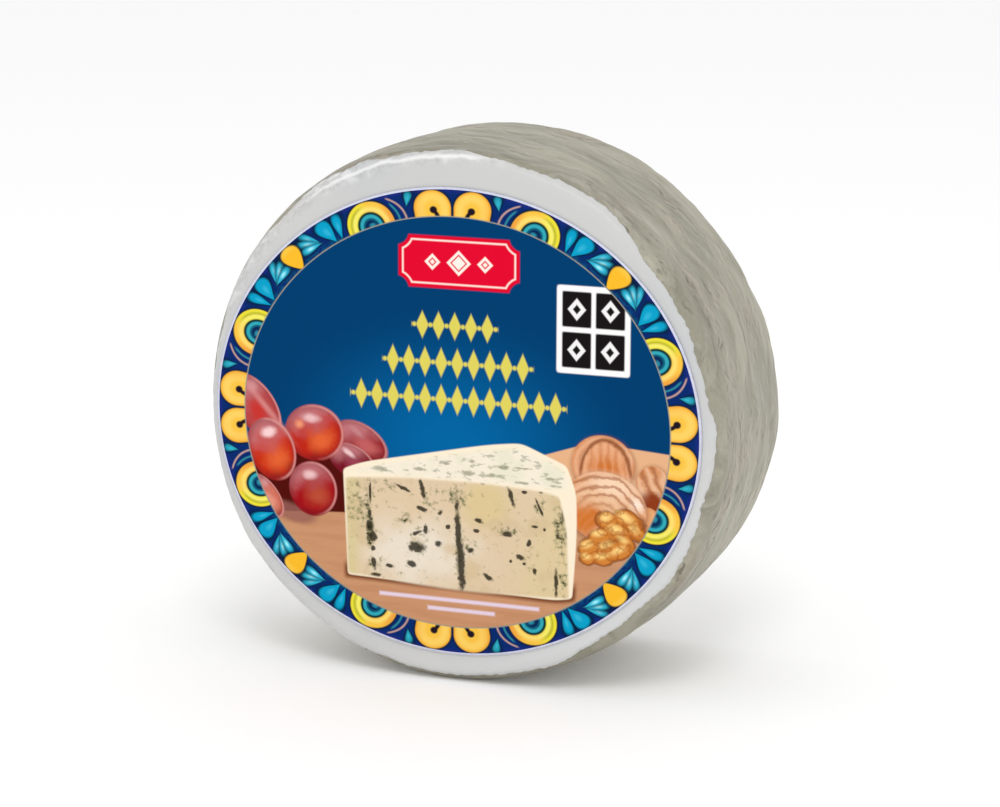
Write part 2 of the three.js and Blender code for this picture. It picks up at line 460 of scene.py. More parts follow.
def back_relief(angle, radius, foil):
    """Pleats of the back, which lean as they near the pressed middle."""
    lean = PLEAT_LEAN * (1 - radius / RADIUS)
    phase = (PLEAT_COUNT / 2) * (angle + lean) + 0.8 * np.sin(3 * angle)
    gathered = smoothstep(radius, BUTTON_RADIUS, 2.5 * BUTTON_RADIUS)
    return -foil.pleat_depth / MM * (0.35 + 0.65 * ridges(phase) * gathered)


def turned_grid(radius, y, angle):
    """Points at a radius, a y and an angle round the wheel's axis, as an array of x, y, z."""
    shape = np.broadcast_shapes(radius.shape, y.shape, angle.shape)
    rows = (radius * np.cos(angle), y, radius * np.sin(angle))
    return np.stack([np.broadcast_to(row, shape) for row in rows], axis=-1)


def round_mesh(name, rows, front, back, uv):
    """A closed surface: rows of points round the axis, joined by quads, with a fan at each pole.

    rows is an array of rows x points x 3 in millimetres, and uv holds a place on the map for each
    point and, in one more column, for its copy at the end of the turn.
    """
    count, around = rows.shape[:2]
    points = np.concatenate([rows.reshape(-1, 3), [front, back]])
    points = (points + (AXIS_X, 0, AXIS_Z)) * MM
    corner = np.arange(count * around).reshape(count, around)
    here, there = corner, np.roll(corner, -1, axis=1)
    quads = np.stack([here[:-1], there[:-1], there[1:], here[1:]], axis=-1).reshape(-1, 4)
    first = np.stack([there[0], here[0], np.full(around, count * around)], axis=-1)
    last = np.stack([here[-1], there[-1], np.full(around, count * around + 1)], axis=-1)
    mesh = bpy.data.meshes.new(name)
    mesh.from_pydata(points, [], [*quads.tolist(), *first.tolist(), *last.tolist()])
    mesh.polygons.foreach_set("use_smooth", np.ones(len(mesh.polygons), bool))
    here, there = uv[:, :-1], uv[:, 1:]
    corners = np.stack([here[:-1], there[:-1], there[1:], here[1:]], axis=2).reshape(-1, 2)
    tips = [
        np.stack([there[0], here[0], (here[0] + there[0]) / 2], axis=1).reshape(-1, 2),
        np.stack([here[-1], there[-1], (here[-1] + there[-1]) / 2], axis=1).reshape(-1, 2),
    ]
    mesh.uv_layers.new(name="OFBake").data.foreach_set("uv", np.concatenate([corners, *tips]).ravel())
    piece = bpy.data.objects.new(name, mesh)
    bpy.context.scene.collection.objects.link(piece)
    return piece


def settle(piece, node, slot, *finishes):
    """Gives a piece its finishes and sets it in the frame in place of its node."""
    for finish in finishes:
        piece.data.materials.append(finish.material)
    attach(piece, "root")
    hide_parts(node)


def foil_section():
    """The wheel's section as rows of radius, y, normal radius, normal y, and a share for the back.

    It runs from the front face over the front shoulder, a quarter circle, along the belly of the
    rim, a parabola, and over the back shoulder to the middle of the back.
    """
    turn = np.linspace(0, math.pi / 2, 9)
    front = [FRONT_FLAT_RADIUS + FRONT_SHOULDER * np.sin(turn), FRONT_Y + FRONT_SHOULDER * (1 - np.cos(turn))]
    front += [np.sin(turn), -np.cos(turn), 0 * turn]
    along = np.linspace(0, 1, 62)[1:-1]
    rim_start, rim_end = FRONT_Y + FRONT_SHOULDER, BACK_Y - BACK_SHOULDER
    rim = [RADIUS - RIM_BELLY * (2 * along - 1) ** 2, blend(rim_start, rim_end, along)]
    rim += [1 + 0 * along, 0 * along, 0 * along]
    turn = np.linspace(0, math.pi / 2, 14)
    back = [BACK_FLAT_RADIUS + BACK_SHOULDER * np.cos(turn), BACK_Y - BACK_SHOULDER * (1 - np.sin(turn))]
    back += [np.cos(turn), np.sin(turn), turn / (math.pi / 2)]
    inward = np.linspace(BACK_FLAT_RADIUS, 1.5, 40)[1:]
    face = [inward, BACK_Y + 0 * inward, 0 * inward, 1 + 0 * inward, 1 + 0 * inward]
    lead_in = np.array([30, 60, 84.0])
    start = [lead_in, FRONT_Y + 0 * lead_in, 0 * lead_in, -1 + 0 * lead_in, 0 * lead_in]
    return np.concatenate([start, front, rim, back, face], axis=1)


def foil_mesh(foil, around=740):
    """The foil: its section carried round the axis, moved along its normal by the relief.

    The relief is that of the solid, with sharp folds between flat patches, fine crinkles drawn out
    round the rim, and crumpled places. What would lie below the floor is pressed up to it.
    """
    radius, y, normal_radius, normal_y, back_share = (row[:, None] for row in foil_section())
    angle = np.linspace(0, FULL_TURN, around, endpoint=False)[None, :]
    smooth = turned_grid(radius, y, angle)
    wander = 9 * lattice_noise(smooth / 32, 11) + 3 * lattice_noise(smooth / 9, 12)
    drawn = smooth + wander[..., None] * (0, 1, 0)
    folds = creased(drawn / (30, 13, 30), 61)
    drawn_out = creased(drawn / (16, 4.4, 16), 21)
    crumpled = creased(drawn / (8, 4.6, 8), 31)
    places = smoothstep(lattice_noise(smooth / (20, 13, 20), 13), 0.45, 0.75)
    on_rim = 0.3 * drawn_out + (0.25 + 0.75 * places) * crumpled
    fine = foil.crinkle_depth / MM * blend(on_rim, 1.5 * crumpled, back_share)
    fine = fine + foil.fold_depth / MM * folds * (1 - 0.5 * back_share)
    broad = blend(rim_relief(angle, y, foil), back_relief(angle, radius, foil), back_share)
    free = away_from_floor(angle)
    depth = smoothstep(y, FRONT_Y + 0.6 * FRONT_SHOULDER, FRONT_Y + 2 * FRONT_SHOULDER) * free * broad
    depth = depth - smoothstep(y, FRONT_Y + 2, FRONT_Y + FRONT_SHOULDER) * blend(0.35, 1, free) * fine
    outline = radius * (1 + out_of_round(angle))
    rows = turned_grid(outline + depth * normal_radius, y + depth * normal_y, angle)
    rows[..., 2] = np.maximum(rows[..., 2], -AXIS_Z)
    back_middle = (0, rows[-1, :, 1].mean(), 0)
    return round_mesh("foil_wheel", rows, (0, FRONT_Y, 0), back_middle, foil_map(len(radius), around))


def foil_map(count, around):
    """Two bands on the map, one for each half turn, with the section running up each."""
    up = np.linspace(0.01, 0.49, count)[:, None]
    turn = np.linspace(0, 2, around + 1)[None, :]
    across = np.where(turn <= 1, turn, turn - 1) * 0.98 + 0.01
    return np.stack(np.broadcast_arrays(across, up + 0.5 * (turn > 1)), axis=-1)


def foil_finish(foil):
    """Matt warm-grey foil in soft slanting facets, pleated on the back, with short dark creases of painted
    shade in places.

    Each facet has painted light on one side and painted shade on the other: its colour follows the
    difference between the relief there and the relief a little further on, across the rim or round the back.
    """
    finish = Finish("creased_foil", Metallic=foil.metal)
    place = finish.place()
    x, y, z = finish.parts(place)
    out = (x * x + z * z).math("SQRT")
    on_back = finish.ramp(y, BACK_Y - 9, BACK_Y - 2)
    pleats = finish.ramp(out, 0.4 * BUTTON_RADIUS, 1.4 * BUTTON_RADIUS) * on_back
    wander = finish.noise(place, (0.03, 0.03, 0.03), 1) * 22 + finish.noise(place, (0.1, 0.1, 0.1), 2) * 6
    places = finish.noise(place, (0.04, 0.055, 0.04), 2)
    busy = finish.ramp(places, 0.38, 0.6)

    def relief(shift):
        """Facets between folds: folded noise, drawn out round the rim or towards the back's middle."""
        drawn = finish.joined(x, y + wander + shift, z)
        broad = abs(finish.noise(drawn, (0.05, 0.1, 0.05), 1, 0.5) - 0.5)
        fine = abs(finish.noise(drawn, (0.17, 0.28, 0.17), 1, 0.5) - 0.5)
        grain = abs(finish.noise(drawn, (0.3, 0.6, 0.3), 3, 0.6) - 0.5)
        lean = out * (PLEAT_LEAN / RADIUS) - (PLEAT_LEAN + shift * 0.016)
        leaning = {"Vector": place, "Angle": lean}
        turned = finish.node("VectorRotate", leaning, rotation_type="Y_AXIS").outputs[0]
        across, _, up = finish.parts(turned)
        pleated = finish.noise(finish.joined(across / out, out * 0.006, up / out), (4, 4, 4), 2, 0.5)
        folds = broad * ((1 - on_back) * 0.6) + abs(pleated - 0.5) * pleats
        return folds + fine * (busy * 0.24 + 0.04) + grain * 0.15

    drawn = finish.joined(x, y + wander, z)
    patches = finish.noise(drawn, (0.026, 0.07, 0.026), 2)
    short_creases = finish.noise(drawn, (0.14, 0.75, 0.14), 3, 0.55)
    here = relief(0)
    slope = here - relief(1.1)
    beside_sheet = finish.ramp(y, FRONT_Y + 15, FRONT_Y + 12)
    colour = finish.mix(foil.colour, foil.shade, finish.ramp(patches, 0.56, 0.36) * 0.3)
    colour = finish.mix(colour, foil.shine, finish.ramp(patches, 0.5, 0.68) * 0.26)
    colour = finish.mix(colour, linear(176, 160, 144), finish.ramp(places, 0.5, 0.68) * 0.3)
    colour = finish.mix(colour, foil.shade, beside_sheet * 0.22)
    # painted highlight and painted shade on the two sides of each facet, from the slope of the relief
    colour = finish.mix(colour, foil.shine, finish.ramp(slope, 0, 0.07) * 0.3)
    colour = finish.mix(colour, foil.shade, finish.ramp(slope, 0, -0.07) * 0.34)
    # painted shade of short creases where the foil is busy, in the shade colour
    colour = finish.mix(colour, foil.shade, finish.ramp(short_creases, 0.59, 0.67) * busy * (1 - on_back) * 0.75)
    finish.colour(colour)
    finish.roughness(patches * 0.4 + 0.28)
    finish.bump(here * 2, 1.2, 0.7)
    return finish


def sheet_turn(angle):
    """How far the sheet turns over the shoulder: less on the right and at the floor, with an uneven edge."""
    fade = smoothstep(
        apart(angle, math.radians(SHORT_MIDDLE)),
        math.radians(SHORT_HALF_ANGLE - SHORT_FADE),
        math.radians(SHORT_HALF_ANGLE + SHORT_FADE),
    )
    coarse = np.cos(12 * angle)
    fine = np.sin(29 * angle + 2 * np.sin(4 * angle))
    free = blend(SHEET_TURN_SHORT, SHEET_TURN, fade) + SHEET_EDGE_RAGGED * (0.7 * coarse + 0.3 * fine)
    return np.radians(blend(SHEET_TURN_AT_FLOOR, free, away_from_floor(angle)))


def sheet_edge(angle):
    """The sheet's turn with small teeth along its edge, which are noise in two sizes."""
    outline = turned_grid(np.array([[RADIUS]]), np.array([[0]]), angle)
    teeth = BROAD_TEETH * lattice_noise(outline / 7, 71) + FINE_TEETH * lattice_noise(outline / 1.6, 72)
    teeth = teeth - (BROAD_TEETH + FINE_TEETH) / 2
    return np.maximum(sheet_turn(angle) + np.radians(teeth), math.radians(6))


def sheet_mesh(sheet, around=900):
    """The pale sheet: a thin shell over the front face and part of its shoulder.

    Each side is the wheel's front at an offset, flat out to the shoulder and then a quarter circle
    up to the sheet's turn. Outside it carries ripples and a pinched ridge at the upper left, and
    towards its edge it thins to the foil.
    """
    angle = np.linspace(0, FULL_TURN, around, endpoint=False)[None, :]
    flat = np.concatenate([[30, 60], np.linspace(78, FRONT_FLAT_RADIUS, 16)])[:, None]
    share = np.linspace(0, 1, 16)[1:, None]
    turn = share * sheet_edge(angle)
    rounded = (FRONT_FLAT_RADIUS + FRONT_SHOULDER * np.sin(turn)) * (1 + out_of_round(angle))
    drop = FRONT_SHOULDER * (1 - np.cos(turn))
    ridge_fade = math.radians(RIDGE_FULL_HALF_ANGLE), math.radians(RIDGE_HALF_ANGLE)
    at_upper_left = 1 - smoothstep(apart(angle, math.radians(RIDGE_MIDDLE)), *ridge_fade)

    def side(offset, shown):
        flat_rows = turned_grid(flat * (1 + out_of_round(angle)), FRONT_Y - offset + 0 * flat, angle)
        near_edge = smoothstep(share, 0.55, 1)
        reach = blend(offset, 0.06 + 0.1 * shown, near_edge) + 0 * angle
        edge_rows = turned_grid(rounded + reach * np.sin(turn), FRONT_Y + drop - reach * np.cos(turn), angle)
        rows = np.concatenate([flat_rows, edge_rows])
        if shown:
            spread = np.concatenate([smoothstep(flat, 86, FRONT_FLAT_RADIUS + 2), 1 + 0 * share]) + 0 * angle
            waves = creased(rows / (17, 40, 17), 41) + 0.5 * lattice_noise(rows / 6, 51)
            rows[..., 1] -= sheet.ripple_depth / MM * spread * (waves - 0.9)
            out = np.hypot(rows[..., 0], rows[..., 2])
            from_ridge = abs(out + 3 * lattice_noise(rows / 8, 52) - RIDGE_RADIUS)
            pinched = 1 - smoothstep(from_ridge, 0, 1.2)
            rows[..., 1] -= sheet.ridge_height / MM * pinched * at_upper_left
        return rows

    outer = side(GAP + SHEET_THICKNESS, True)
    inner = side(GAP, False)[::-1][::4]
    rows = np.concatenate([outer, inner])
    middle_out, middle_in = (0, FRONT_Y - GAP - SHEET_THICKNESS, 0), (0, FRONT_Y - GAP, 0)
    return round_mesh("face_cover", rows, middle_out, middle_in, disc_map(rows, len(outer)))


def disc_map(rows, shown):
    """The shown rows seen from the front, with the hidden ones shrunk into a corner of the map."""
    closed = np.concatenate([rows, rows[:, :1]], axis=1)[..., (0, 2)]
    share = closed / (2.06 * RADIUS) + 0.5
    hidden = np.arange(len(rows))[:, None, None] >= shown
    return np.where(hidden, 0.02 + 0.03 * share, share)


def sheet_finish(sheet):
    """Smooth pale satin, faintly clouded, painted lighter to the lower right, with crumples in painted
    highlight and shade and a painted highlight on the upper left ridge.
    """
    finish = Finish("pale_sheet", Specular_IOR_Level=0.35)
    place = finish.place()
    x, z = finish.along(place, (1, 0, 0)), finish.along(place, (0, 0, 1))
    out = (x * x + z * z).math("SQRT")
    cloud = finish.noise(place, (0.02, 0.02, 0.02), 2)
    crumple_noise = finish.noise(place, (0.16, 0.3, 0.16), 4, 0.62)
    wobble = finish.noise(place, (0.125, 0.125, 0.125), 2)
    upper_left = finish.ramp(z * 0.86 - x * 0.5, 62, 88)
    painted_light_lower_right = finish.ramp(x * 0.6 - z * 0.8, 40, 105)
    edge = finish.ramp(out, 91.5, 96)
    crumpled = edge * (upper_left * 0.42 + 0.06)
    colour = finish.mix(sheet.colour, linear(188, 191, 196), finish.ramp(cloud, 0.4, 0.65) * 0.4)
    # painted light: the sheet made lighter towards its lower right
    colour = finish.mix(colour, linear(214, 216, 216), painted_light_lower_right * 0.6)
    # painted highlights and thin painted shade on the crumples near the edge, most at the upper left
    colour = finish.mix(colour, sheet.shine, finish.ramp(crumple_noise, 0.54, 0.66) * crumpled)
    colour = finish.mix(colour, sheet.shade, finish.ramp(abs(crumple_noise - 0.46), 0.05, 0) * crumpled * 0.8)
    # painted highlight along the pinched ridge at the upper left shoulder
    ridge = finish.ramp(abs(out + wobble * 3 - RIDGE_RADIUS), 1.1, 0)
    ridge = ridge * finish.ramp(z, 72, 86) * finish.ramp(x, 20, 0)
    colour = finish.mix(colour, sheet.shine, ridge * 0.8)
    finish.colour(colour)
    finish.roughness(crumple_noise * 0.2 + (sheet.roughness - 0.1))
    finish.bump(crumple_noise * crumpled, 0.8, 0.5)
    return finish


def label_mesh(around=400):
    """The label: an oval disc whose rim bends back to the sheet, with rows at the print's borders.

    Each row is the outline times a share, its thickness a constant, its bend a smooth step. Where it
    reaches past the flat of the face it follows the shoulder, which is part of a circle.
    """
    angle = np.linspace(0, FULL_TURN, around, endpoint=False)[None, :]
    shares = np.array([0.3, 0.6, 0.8, RING_START, 0.93, 0.97, 0.98, PRINT_END, 1, 1, 0.9, 0.5])[:, None]
    level = np.array([0, 0, 0, 0, 0, 0, 0.02, 0.06, 0.14, 1, 1, 1])[:, None]
    x = LABEL_SHIFT + LABEL_HALF_WIDTH * shares * np.cos(angle)
    z = -LABEL_DROP + LABEL_HALF_HEIGHT * shares * np.sin(angle)
    past_flat = np.hypot(x, z) / (1 + out_of_round(np.arctan2(z, x))) - FRONT_FLAT_RADIUS
    bend = FRONT_SHOULDER + GAP + SHEET_THICKNESS
    y = blend(LABEL_FACE_Y, LABEL_BACK_Y, level) + bend - np.sqrt(bend**2 - np.maximum(past_flat, 0) ** 2)
    rows = np.stack([x, y, z], axis=-1)
    shown = 9
    middle = (LABEL_SHIFT, LABEL_FACE_Y, -LABEL_DROP)
    middle_back = (LABEL_SHIFT, LABEL_BACK_Y, -LABEL_DROP)
    piece = round_mesh("printed_label", rows, middle, middle_back, disc_map(rows, shown))
    row = np.repeat(np.arange(len(shares) - 1), around)
    slots = np.select([row < 3, row < 7], [0, 1], 2)
    poles = np.repeat([0, 2], around)
    piece.data.polygons.foreach_set("material_index", np.concatenate([slots, poles]).astype(np.int32))
    return piece


def print_finish(name, label):
    return Finish(name, Roughness=0.42, Specular_IOR_Level=label.gloss)


def paper_finish(label):
    """Bare paper at the label's edge, with the faintest grain."""
    finish = print_finish("label_paper", label)
    grain = finish.noise(finish.place(), (0.5, 0.5, 0.5), 3)
    finish.colour(finish.mix(label.paper, linear(190, 193, 214), finish.ramp(grain, 0.4, 0.7) * 0.5))
    return finish


def label_share(finish):
    """A point of the label as shares of its half-width and half-height, and its share out."""
    x, _, z = finish.parts(finish.place())
    across = (x - LABEL_SHIFT) / LABEL_HALF_WIDTH
    up = (z + LABEL_DROP) / LABEL_HALF_HEIGHT
    return across, up, (across * across + up * up).math("SQRT")


def ring_finish(label):
    """The ring: motifs of painted tiles, repeated and mirrored eight times round the label.

    The turn is folded into an eighth of the ring. Across it, a millimetre is measured along the
    ring, from the pair of horseshoes to the drop, and up it, outwards from the ring's start.
    """
    finish = print_finish("printed_ring", label)
    across, up, out = label_share(finish)
    turn = finish.math("ARCTAN2", up, across) * (4 / FULL_TURN) + 0.5
    fold = abs(turn.math("FRACT") - 0.5) * 2
    eighth = 65.2
    depth = 89.6
    drawing = Drawing(finish, finish.joined(fold * eighth, (out - RING_START) * depth, 0), label.navy)
    flecks = finish.noise(drawing.spot, (0.5, 0.9, 1), 2)
    near_petals = finish.ramp(drawing.across, 38, 46)
    flecked = finish.ramp(drawing.up, 3.2, 0) * near_petals * finish.ramp(flecks, 0.42, 0.58)
    drawing.paint(linear(6, 84, 120), flecked)
    drawing.paint(linear(34, 40, 132), finish.ramp(drawing.up, 8, 10.5) * 0.6)
    outline = linear(6, 28, 48)

    def motif(colour, out_value, size, halo=0.7):
        """Paints a motif inside a dark outline, and gives back the motif's mask."""
        drawing.paint(outline, drawing.inside(out_value * (size / (size + halo)), size, 0.6))
        mask = drawing.inside(out_value, size)
        drawing.paint(colour, mask)
        return mask

    for x, half_width, height, end, shade in (
        (31.9, 14.2, 11.0, 23.6, linear(186, 150, 142)),
        (31.9, 11.6, 10.6, 22.8, linear(46, 132, 150)),
    ):
        thin = abs(drawing.oval(x, 0, half_width, height) - 1) * half_width
        before_end = finish.ramp(drawing.across, end + 0.6, end - 0.6)
        drawing.paint(shade, drawing.filled(0.36 - thin, 0.3) * before_end)

    shoe = drawing.arch(7.4, 3, 6.8, 6.9)
    mask = motif(label.gold, shoe, 6.9)
    drawing.paint(linear(236, 158, 52), finish.ramp(shoe, 0.84, 1) * mask * 0.7)
    drawing.paint(linear(250, 212, 112), drawing.inside(abs(shoe - 0.66) * 5, 1, 0.8) * 0.6)
    drawing.paint(linear(236, 158, 52), finish.ramp(drawing.across, 9.5, 14) * mask * 0.35)
    drawing.blob(linear(30, 22, 34), 5.9, 1.0, 0.8, 1.9, -30)
    drawing.blob(linear(30, 22, 34), 7.1, 2.7, 1.4, 1.35)

    rosette = drawing.arch(31.9, 0, 9.3, 9.8)
    mask = motif(label.gold, rosette, 9.3)
    drawing.paint(linear(232, 150, 62), finish.ramp(drawing.across, 27.5, 23) * mask * 0.8)
    drawing.paint(label.lemon, finish.ramp(drawing.across, 30, 35.5) * mask)
    drawing.paint(linear(250, 240, 140), drawing.inside(abs(rosette - 0.72) * 12, 1, 1.2) * 0.5)
    olive = drawing.inside(abs(rosette - 0.84) * 20, 1, 1.2) * finish.ramp(drawing.across, 31, 36)
    drawing.paint(linear(160, 156, 40), olive * 0.7)
    for half_width, height, shade in (
        (5.5, 6.0, linear(8, 48, 50)),
        (4.5, 5.0, linear(50, 164, 180)),
        (3.3, 3.7, linear(14, 92, 118)),
        (2.6, 2.9, linear(8, 40, 84)),
    ):
        drawing.paint(shade, drawing.inside(drawing.arch(31.9, 0, half_width, height), half_width))
    drawing.blob(linear(44, 150, 172), 31.4, 0.9, 1.1, 0.7, 0, 0.5, 0.8)

    for tip, end, half_width, shade in (
        ((16.9, 5.0), (15.4, 9.8), 1.0, linear(40, 156, 178)),
        ((44.7, 0.8), (43.1, 9.6), 1.35, label.turquoise),
        ((47.3, 0.8), (50.0, 9.8), 2.35, label.turquoise),
    ):
        out_value = drawing.petal(tip, end, half_width)
        motif(shade, out_value, half_width, 0.6)
        drawing.paint(linear(70, 196, 224), finish.ramp(out_value, 0.6, 0.1) * 0.45)
    for end in ((58.0, 9.5), (60.7, 7.4), (61.0, 4.2)):
        tip = (53.0, 3.2)
        out_value = drawing.petal(tip, end, 1.0)
        motif(linear(48, 176, 206), out_value, 1.0, 0.5)
        lit = finish.ramp(out_value, 0.75, 0.2) * finish.ramp(drawing.across, 55, 58)
        drawing.paint(linear(160, 236, 246), lit)
    mask = motif(linear(244, 184, 44), drawing.petal((65.25, 0.2), (65.25, 9.9), 3.5, 0.5), 3.6, 0.8)
    drawing.paint(linear(250, 212, 96), finish.ramp(drawing.up, 7, 9.5) * mask * 0.4)

    drawing.paint(linear(150, 146, 134), drawing.filled(0.42 - drawing.up, 0.3))
    finish.colour(drawing.colour)
    return finish


def picture_finish(label):
    """The picture: cheese, grapes and nuts on a board in simple shapes, under a plaque and gold bands."""
    finish = print_finish("printed_picture", label)
    drawing = Drawing(finish, finish.front(), label.deep_blue)
    drawing.glow(label.bright_blue, -2, -8, 74, 52)
    draw_board(drawing, label)
    draw_grapes(drawing, label)
    draw_walnuts(drawing, label)
    draw_wedge(drawing, label)
    draw_plaque(drawing, label)
    draw_bands(drawing)
    draw_panel(drawing)
    finish.colour(drawing.colour)
    return finish


def draw_board(drawing, label):
    """A wooden board: a field with a straight far edge on each side of the cheese, and soft grain."""
    finish = drawing.finish
    grain = finish.noise(drawing.spot, (0.03, 0.25, 1), 3)
    wood = finish.mix(label.board, linear(176, 122, 88), finish.ramp(grain, 0.45, 0.62) * 0.3)
    wood = finish.mix(wood, linear(226, 174, 132), finish.ramp(drawing.up, -40, -12))
    left = drawing.polygon([(-90, -41), (-40, -37), (6, -36), (6, -95), (-90, -95)])
    right = drawing.polygon([(-6, -22), (34, -9), (50, -3.2), (96, -6.5), (96, -95), (-6, -95)])
    dark_gap = drawing.polygon([(-90, -20), (-40, -20), (-40, -60), (-90, -60)])
    drawing.paint(linear(78, 16, 10), drawing.filled(dark_gap))
    drawing.paint(wood, drawing.filled(left.math("MAXIMUM", right)))
    drawing.blob(linear(146, 92, 84), -63, -39, 8.5, 4, -12, 1.2, 0.8)


def draw_grapes(drawing, label):
    """Grapes: a pale rim, a dusty bloom on top, warm red and orange below, and a soft gleam."""
    finish = drawing.finish
    cloud = finish.noise(drawing.spot, (0.16, 0.16, 1), 3, 0.55)
    rim, bloom, gleam = linear(218, 150, 146), linear(190, 118, 122), linear(246, 208, 208)
    wine = linear(112, 14, 22)
    drawing.blob(linear(80, 14, 10), -56, -22, 22, 15, 0, 1.5)
    for x, y, half_width, half_height, turn, body, warm, shine in (
        (-78.5, 0, 8, 13.5, 38, linear(176, 70, 70), linear(196, 52, 48), 0.2),
        (-36.4, -10.4, 11, 6.6, -28, linear(150, 44, 50), linear(188, 92, 92), 0.15),
        (-40, -18, 9.5, 6, -25, linear(116, 18, 36), linear(150, 62, 82), 0.8),
        (-74.5, -34, 5, 9.5, 38, linear(206, 112, 92), linear(222, 144, 122), 0.2),
        (-55.6, -29.7, 9.4, 10.2, 12, linear(160, 16, 24), linear(182, 74, 52), 0.75),
        (-54.8, -8.4, 11.5, 10.4, 0, linear(186, 38, 22), label.grape, 0.7),
        (-72, -16, 9.2, 12, 22, linear(196, 46, 20), label.grape, 0.95),
    ):
        out = drawing.oval(x, y, half_width, half_height, turn)
        mask = drawing.inside(out, half_height, 0.5)
        drawing.paint(body, mask)
        rise = finish.along(drawing.spot, (-0.3 / half_width, 0.9 / half_height, 0))
        rise = rise + (0.3 * x / half_width - 0.9 * y / half_height) + cloud
        patch = drawing.oval(
            x + 0.22 * half_width, y - 0.25 * half_height, 0.75 * half_width, 0.7 * half_height, turn
        )
        drawing.paint(warm, finish.ramp(patch + cloud, 1.5, 0.6) * mask)
        drawing.paint(bloom, finish.ramp(rise, 0.3, 1.35) * mask * 0.9)
        drawing.paint(wine, finish.ramp(rise, 0, -0.5) * mask * 0.6)
        drawing.paint(linear(120, 24, 34), finish.ramp(out, 0.7, 1.05) * mask * 0.55)
        aside = finish.along(drawing.spot, (0.8 / half_width, 0.3 / half_height, 0))
        aside = aside - (0.8 * x / half_width + 0.3 * y / half_height) + cloud
        drawing.paint(rim, finish.ramp(out, 0.88, 0.97) * finish.ramp(aside, 0.2, 1.1) * mask * 0.8)
        lit = drawing.oval(
            x - 0.12 * half_width, y + 0.52 * half_height, 0.4 * half_width, 0.22 * half_height, turn - 8
        )
        drawing.paint(gleam, finish.ramp(lit + cloud, 1.6, 0.7) * shine)
    drawing.blob(linear(222, 150, 146), -74, -0.4, 9.5, 0.9, -48, 1.2, 0.7)
    drawing.glow(linear(238, 150, 112), -60.8, -5.6, 2.8, 2.6)


